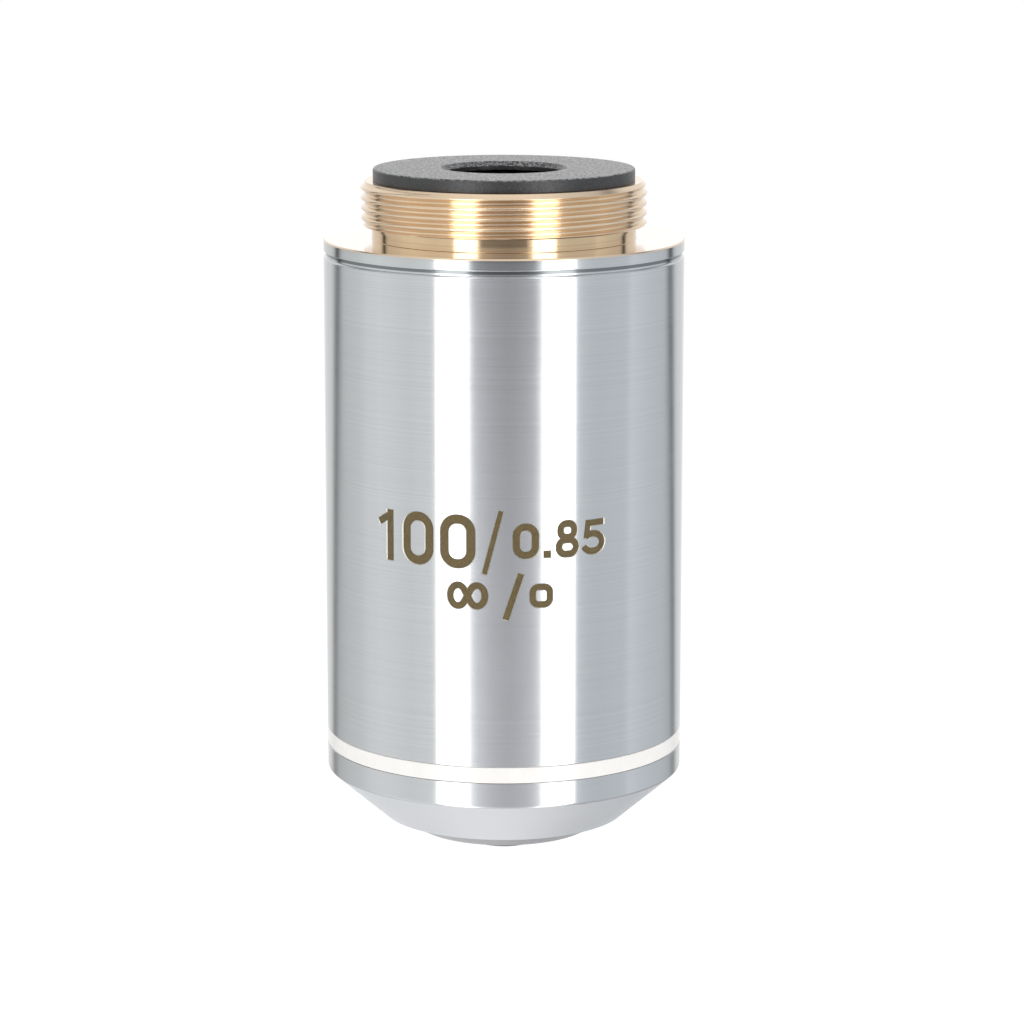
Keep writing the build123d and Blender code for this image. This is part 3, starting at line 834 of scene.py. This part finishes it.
def engraved_patch(builder, top_ring, low_ring, first, last, columns):
    """Fills the window in the sleeve's wall between two rings with the engraved surface."""
    step = 360.0 / columns

    def column_u(c):
        return radians(c * step - FRONT_ANGLE) * BODY_R

    coords = []
    edges = []
    index = {}

    def add(u, v):
        key = (round(u, 5), round(v, 5))
        if key not in index:
            index[key] = len(coords)
            coords.append(Vector((u, v)))
        return index[key]

    for c in range(first, last + 1):
        edges.append((add(column_u(c), WINDOW_LOW), add(column_u(c), WINDOW_TOP)))
        if c < last:
            edges.append((add(column_u(c), WINDOW_LOW), add(column_u(c + 1), WINDOW_LOW)))
            edges.append((add(column_u(c), WINDOW_TOP), add(column_u(c + 1), WINDOW_TOP)))
    figures = strokes()
    zones = []
    for grow in (ENGRAVE_RIM, 0.0):
        quads = [q for points, closed, width in figures for q in stroke_quads(points, closed, width, grow)]
        for quad in quads:
            ids = [add(*p) for p in quad]
            edges.extend((ids[k], ids[(k + 1) % 4]) for k in range(4))
        zones.append(np.array(quads))
    verts, _, faces, _, _, _ = delaunay_2d_cdt(coords, edges, [], 0, 1e-5)
    points = np.array([(v[0], v[1]) for v in verts])
    triangles = np.array([list(f) for f in faces if len(f) == 3])
    centres = points[triangles].mean(axis=1)

    def inside(quads):
        hit = np.zeros(len(centres), bool)
        for quad in quads:
            signs = []
            for k in range(4):
                a = quad[k]
                b = quad[(k + 1) % 4]
                from_a = centres - a
                signs.append((b[0] - a[0]) * from_a[:, 1] - (b[1] - a[1]) * from_a[:, 0])
            signs = np.array(signs)
            hit |= (signs > 0).all(axis=0) | (signs < 0).all(axis=0)
        return hit

    in_rim = inside(zones[0])
    in_floor = inside(zones[1])

    depth = np.zeros(len(points))
    for path, closed, width in figures:
        ends = path + [path[0]] if closed else path
        near = np.full(len(points), 1e9)
        for a, b in zip(ends, ends[1:]):
            ab = np.array(b) - np.array(a)
            t = np.clip(((points - a) @ ab) / (ab @ ab), 0, 1)
            gap = points - (np.array(a) + t[:, None] * ab)
            near = np.minimum(near, np.hypot(gap[:, 0], gap[:, 1]))
        wall = np.clip(width / 2 + ENGRAVE_RIM - near, 0, ENGRAVE_RIM) / ENGRAVE_RIM * ENGRAVE_DEPTH
        depth = np.maximum(depth, wall)
    for triangle, flag in zip(triangles, in_floor):
        if flag:
            depth[triangle] = ENGRAVE_DEPTH
    used_flat = set(int(v) for t, r in zip(triangles, in_rim) if not r for v in t)
    for v in used_flat:
        depth[v] = 0.0

    ids = []
    for (u, v), cut in zip(points, depth):
        angle = u / BODY_R - pi / 2
        column = (degrees(u / BODY_R) + FRONT_ANGLE) / step
        whole = round(column)
        if abs(column - whole) < 1e-4 and abs(v - WINDOW_TOP) < 1e-4:
            ids.append(top_ring[whole % columns])
        elif abs(column - whole) < 1e-4 and abs(v - WINDOW_LOW) < 1e-4:
            ids.append(low_ring[whole % columns])
        else:
            r = BODY_R - cut
            ids.append(builder.vert(r * cos(angle), r * sin(angle), v))
    for triangle, rim, floor in zip(triangles, in_rim, in_floor):
        corners = [ids[k] for k in triangle]
        if len(set(corners)) < 3:
            continue
        p = [Vector(builder.verts[k]) for k in corners]
        face_normal = (p[1] - p[0]).cross(p[2] - p[0])
        if face_normal.length < 1e-16:
            continue
        if face_normal.x * p[0].x + face_normal.y * p[0].y < 0:
            corners.reverse()
            p.reverse()
            face_normal = -face_normal
        if rim and not floor:
            builder.face(corners, [tuple(face_normal.normalized())] * 3, "cut")
        else:
            normals = []
            for q in p:
                flat = Vector((q.x, q.y, 0.0)).normalized()
                normals.append(tuple(flat))
            builder.face(corners, normals, "paint" if floor else "sleeve")


def build_sleeve(materials):
    """The sleeve, with a window in its wall that the engraved surface fills."""
    builder = Builder()
    columns = 360
    first, last = WINDOW_COLUMNS
    slope = tan(radians(CONE_HALF_ANGLE))
    wall_height = SLEEVE_WALL / sin(radians(CONE_HALF_ANGLE))
    inner_cone = CONE_BOTTOM + wall_height - (CONE_EDGE_R - NOSE_OPENING_R) / slope
    corners = [
        (SLEEVE_BORE_R, SLEEVE_TOP, 0.0, "sleeve"),
        (BODY_R - SLEEVE_CHAMFER, SLEEVE_TOP, 0.05, "sleeve"),
        (BODY_R, SLEEVE_TOP - SLEEVE_CHAMFER, 0.05, "sleeve"),
        (BODY_R, WINDOW_TOP, 0.0, "sleeve"),
        (BODY_R, WINDOW_LOW, 0.0, "sleeve"),
        (BODY_R, BAND_TOP, 0.04, "sleeve"),
        (BAND_SEAT_R, BAND_TOP, 0.0, "sleeve"),
        (BAND_SEAT_R, BAND_BOTTOM, 0.0, "sleeve"),
        (BODY_R, BAND_BOTTOM, 0.04, "sleeve"),
        (BODY_R, CONE_TOP, 0.25, "cone"),
        (CONE_EDGE_R, CONE_BOTTOM, 0.02, "cone"),
        (NOSE_OPENING_R, CONE_BOTTOM, 0.0, "bore"),
        (NOSE_OPENING_R, inner_cone, 0.0, "bore"),
        (SLEEVE_BORE_R, inner_cone + (SLEEVE_BORE_R - NOSE_OPENING_R) / slope, 0.1, "inner_brass"),
    ]
    segments, side = outline(corners)
    window_ends = ((BODY_R, WINDOW_TOP), (BODY_R, WINDOW_LOW))
    window = next(s for s, segment in enumerate(segments) if segment[:2] == window_ends)
    rings = turned(builder, segments, side, columns, lambda s, c: s == window and first <= c < last)
    engraved_patch(builder, rings[window], rings[window + 1], first, last, columns)
    return builder.make("engraved_sleeve", materials, "housing", "outer_sleeve")


def build_turned(name, corners, materials, body, node, columns=360):
    builder = Builder()
    segments, side = outline(corners)
    turned(builder, segments, side, columns)
    return builder.make(name, materials, body, node)


def build_spring(materials):
    """The flat-wire coil, which shortens as the lens unit slides up."""
    builder = Builder()
    steps = 72
    turns = (SPRING_TOP - SPRING_BOTTOM) / SPRING_PITCH
    count = int(steps * turns)
    half_w = SPRING_WIRE_WIDTH / 2
    half_h = SPRING_WIRE_HEIGHT / 2
    section = [(half_w, -half_h), (half_w, half_h), (-half_w, half_h), (-half_w, -half_h)]
    faces_out = [(1.0, 0.0), (0.0, 1.0), (-1.0, 0.0), (0.0, -1.0)]
    rings = []
    angles = [2 * pi * turns * k / count for k in range(count + 1)]
    for angle in angles:
        z = SPRING_BOTTOM + SPRING_PITCH * angle / (2 * pi)
        ring = []
        for dr, dz in section:
            r = SPRING_R + dr
            ring.append(builder.vert(r * cos(angle), r * sin(angle), z + dz))
        rings.append(ring)
    for k in range(count):
        for i in range(4):
            j = (i + 1) % 4
            out, up = faces_out[i]
            n0 = (out * cos(angles[k]), out * sin(angles[k]), up)
            n1 = (out * cos(angles[k + 1]), out * sin(angles[k + 1]), up)
            corners = [rings[k][i], rings[k + 1][i], rings[k + 1][j], rings[k][j]]
            builder.face(corners, [n0, n1, n1, n0], "spring")
    builder.face([rings[0][i] for i in range(4)], [(0.0, -1.0, 0.0)] * 4, "spring")
    end = angles[-1]
    builder.face([rings[-1][i] for i in (3, 2, 1, 0)], [(-sin(end), cos(end), 0.0)] * 4, "spring")
    spring = builder.make("coil_spring", materials, "housing", "return_spring")
    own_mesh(spring)


def build_pieces(materials):
    build_spring(materials)
    build_mount(materials)
    build_sleeve(materials)
    build_turned("enamel_band", [
        (BAND_SEAT_R + BAND_GAP, BAND_TOP - BAND_GAP, 0.0, "enamel"),
        (BODY_R, BAND_TOP - BAND_GAP, 0.07, "enamel"),
        (BODY_R, BAND_BOTTOM + BAND_GAP, 0.07, "enamel"),
        (BAND_SEAT_R + BAND_GAP, BAND_BOTTOM + BAND_GAP, 0.0, "enamel"),
    ], materials, "housing", "colour_band")
    top = THREAD_TOP + BAFFLE_THICKNESS
    build_turned("blasted_baffle", [
        (BAFFLE_HOLE_R + BAFFLE_BEVEL, top, 0.02, "baffle"),
        (BAFFLE_R, top, 0.16, "baffle"),
        (BAFFLE_R, THREAD_TOP, 0.04, "baffle"),
        (BAFFLE_SPIGOT_R, THREAD_TOP, 0.0, "bore"),
        (BAFFLE_SPIGOT_R, THREAD_TOP - BAFFLE_SPIGOT_LENGTH, 0.05, "bore"),
        (BAFFLE_BORE_R, THREAD_TOP - BAFFLE_SPIGOT_LENGTH, 0.05, "bore"),
        (BAFFLE_BORE_R, top - BAFFLE_LIP, 0.1, "bore"),
        (BAFFLE_HOLE_R, top - BAFFLE_LIP, 0.03, "baffle"),
        (BAFFLE_HOLE_R, top - BAFFLE_BEVEL, 0.03, "baffle"),
    ], materials, "housing", "rear_baffle")
    shoulder = CAP_FRONT + CAP_LIP
    build_turned("nose_cone", [
        (CAP_HOLE_R, CAP_FRONT, 0.02, "nose"),
        (NOSE_KNEE_R, NOSE_KNEE, 0.05, "nose"),
        (NOSE_R, NOSE_RIM, 0.06, "cone"),
        (NOSE_R, BARREL_END, 0.0, "bore"),
        (CAP_SPIGOT_R, BARREL_END, 0.0, "bore"),
        (CAP_SPIGOT_R, BARREL_END + CAP_SPIGOT_LENGTH, 0.05, "bore"),
        (CAP_BORE_R, BARREL_END + CAP_SPIGOT_LENGTH, 0.0, "bore"),
        (CAP_BORE_R, shoulder, 0.0, "bore"),
        (CAP_HOLE_R, shoulder, 0.0, "bore"),
    ], materials, "lens_unit", "nose_cap")
    build_turned("lens_tip", [
        (TIP_OPENING_R, TIP_Z, 0.03, "tip"),
        (TIP_FACE_R, TIP_Z, 0.06, "tip"),
        (FRONT_CELL_R, CAP_FRONT, 0.04, "tip"),
        (FRONT_CELL_R, shoulder, 0.0, "bore"),
        (FRONT_FLANGE_R, shoulder, 0.0, "bore"),
        (FRONT_FLANGE_R, shoulder + FRONT_FLANGE_HEIGHT, 0.0, "bore"),
        (FRONT_MOUTH_R, shoulder + FRONT_FLANGE_HEIGHT, 0.0, "bore"),
        (FRONT_LENS_R, TIP_Z + FRONT_LENS_RIM, 0.0, "bore"),
        (FRONT_LENS_R, TIP_Z + TIP_LIP, 0.0, "bore"),
        (TIP_OPENING_R, TIP_Z + TIP_LIP, 0.02, "tip"),
    ], materials, "lens_unit", "front_cell")


def dress_nodes(materials):
    """Gives each CAD node that still shows its finish, on its own slots."""
    by_slot = {
        "plain_brass": "inner_brass",
        "screw_steel": "steel",
        "spring_steel": "spring",
        "blackened_brass": "black",
        "coated_glass": "glass",
        "brass_body": "brass",
        "plated_sleeve": "sleeve",
        "white_enamel": "enamel",
        "black_baffle": "baffle",
        "plated_nose": "nose",
        "black_tip": "tip",
    }
    for part in frame["record"]["subparts"]:
        node = frame["nodes"][part["node"]]
        material = materials[by_slot[part["material_slot"]]]
        if not node.material_slots:
            node.data.materials.append(material)
        for place in node.material_slots:
            place.material = material


materials = make_materials()
make_studio()
build_pieces(materials)
dress_nodes(materials)
